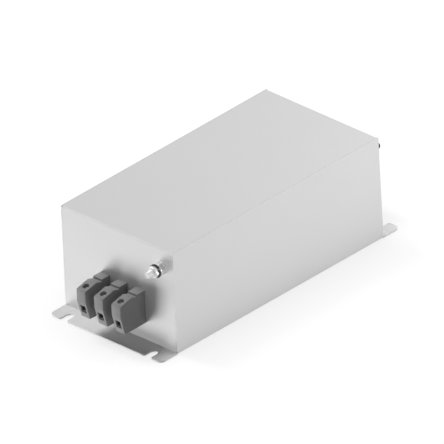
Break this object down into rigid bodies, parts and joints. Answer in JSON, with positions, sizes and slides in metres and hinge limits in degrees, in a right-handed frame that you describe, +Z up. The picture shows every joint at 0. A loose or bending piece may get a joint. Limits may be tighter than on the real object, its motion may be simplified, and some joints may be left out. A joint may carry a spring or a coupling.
{
  "type": "emi line filter",
  "caption": "Mains interference filter in a folded sheet-metal case with slotted flanges, cage-clamp terminals and an earth stud on both end walls.",
  "frame": {"origin": "centre of the base's underside, which rests on the mounting plate", "axes": "+Y along the case from the line end to the load end, +Z up out of the mounting plate, +X to the right when looking along +Y"},
  "size_m": [0.105, 0.2532, 0.0788],
  "materials": {
    "case_sheet": "even light grey, fine satin",
    "terminal_moulding": "dark grey moulded, slightly matt",
    "zinc_steel": "zinc plated",
    "bright_nut": "bright plated",
    "black_spring_steel": "blackened spring steel",
    "tinned_copper": "tin plated",
    "enamelled_copper": "clear enamel over copper",
    "ferrite_coating": "epoxy coated ferrite",
    "holder_moulding": "black moulded",
    "capacitor_case": "yellow moulded box",
    "disc_lacquer": "lacquered disc",
    "lead_insulation": "green insulation with a yellow stripe",
    "insulating_film": "milky film",
    "board_laminate": "green mask over glass laminate",
    "standoff_brass": "plain brass",
    "resistor_body": "lacquered body with colour bands"
  },
  "bodies": {
    "root": {"base_tray": "case_sheet", "cover": "case_sheet", "cover_screws": "zinc_steel", "line_block_1": "terminal_moulding", "line_clamp_1": "zinc_steel", "line_busbar_1": "tinned_copper", "line_winding_1": "enamelled_copper", "line_x_capacitor_1": "capacitor_case", "line_block_2": "terminal_moulding", "line_clamp_2": "zinc_steel", "line_busbar_2": "tinned_copper", "line_winding_2": "enamelled_copper", "line_x_capacitor_2": "capacitor_case", "line_block_3": "terminal_moulding", "line_clamp_3": "zinc_steel", "line_busbar_3": "tinned_copper", "line_winding_3": "enamelled_copper", "line_x_capacitor_3": "capacitor_case", "line_clamp_screws": "zinc_steel", "line_earth_stud": "zinc_steel", "line_earth_lug": "tinned_copper", "line_earth_lead": "lead_insulation", "line_choke_core": "ferrite_coating", "line_choke_holder": "holder_moulding", "line_y_capacitor": "disc_lacquer", "load_block_1": "terminal_moulding", "load_clamp_1": "zinc_steel", "load_busbar_1": "tinned_copper", "load_winding_1": "enamelled_copper", "load_x_capacitor_1": "capacitor_case", "load_block_2": "terminal_moulding", "load_clamp_2": "zinc_steel", "load_busbar_2": "tinned_copper", "load_winding_2": "enamelled_copper", "load_x_capacitor_2": "capacitor_case", "load_block_3": "terminal_moulding", "load_clamp_3": "zinc_steel", "load_busbar_3": "tinned_copper", "load_winding_3": "enamelled_copper", "load_x_capacitor_3": "capacitor_case", "load_clamp_screws": "zinc_steel", "load_earth_stud": "zinc_steel", "load_earth_lug": "tinned_copper", "load_earth_lead": "lead_insulation", "load_choke_core": "ferrite_coating", "load_choke_holder": "holder_moulding", "load_y_capacitor": "disc_lacquer", "earth_washers": "zinc_steel", "earth_base_nuts": "zinc_steel", "line_lock_washer": "black_spring_steel", "line_outer_nut": "bright_nut", "insulating_sheet": "insulating_film", "circuit_board": "board_laminate", "board_standoffs": "standoff_brass", "board_screws": "zinc_steel", "discharge_resistor_1": "resistor_body", "discharge_resistor_2": "resistor_body", "discharge_resistor_3": "resistor_body"}
  },
  "joints": []
}
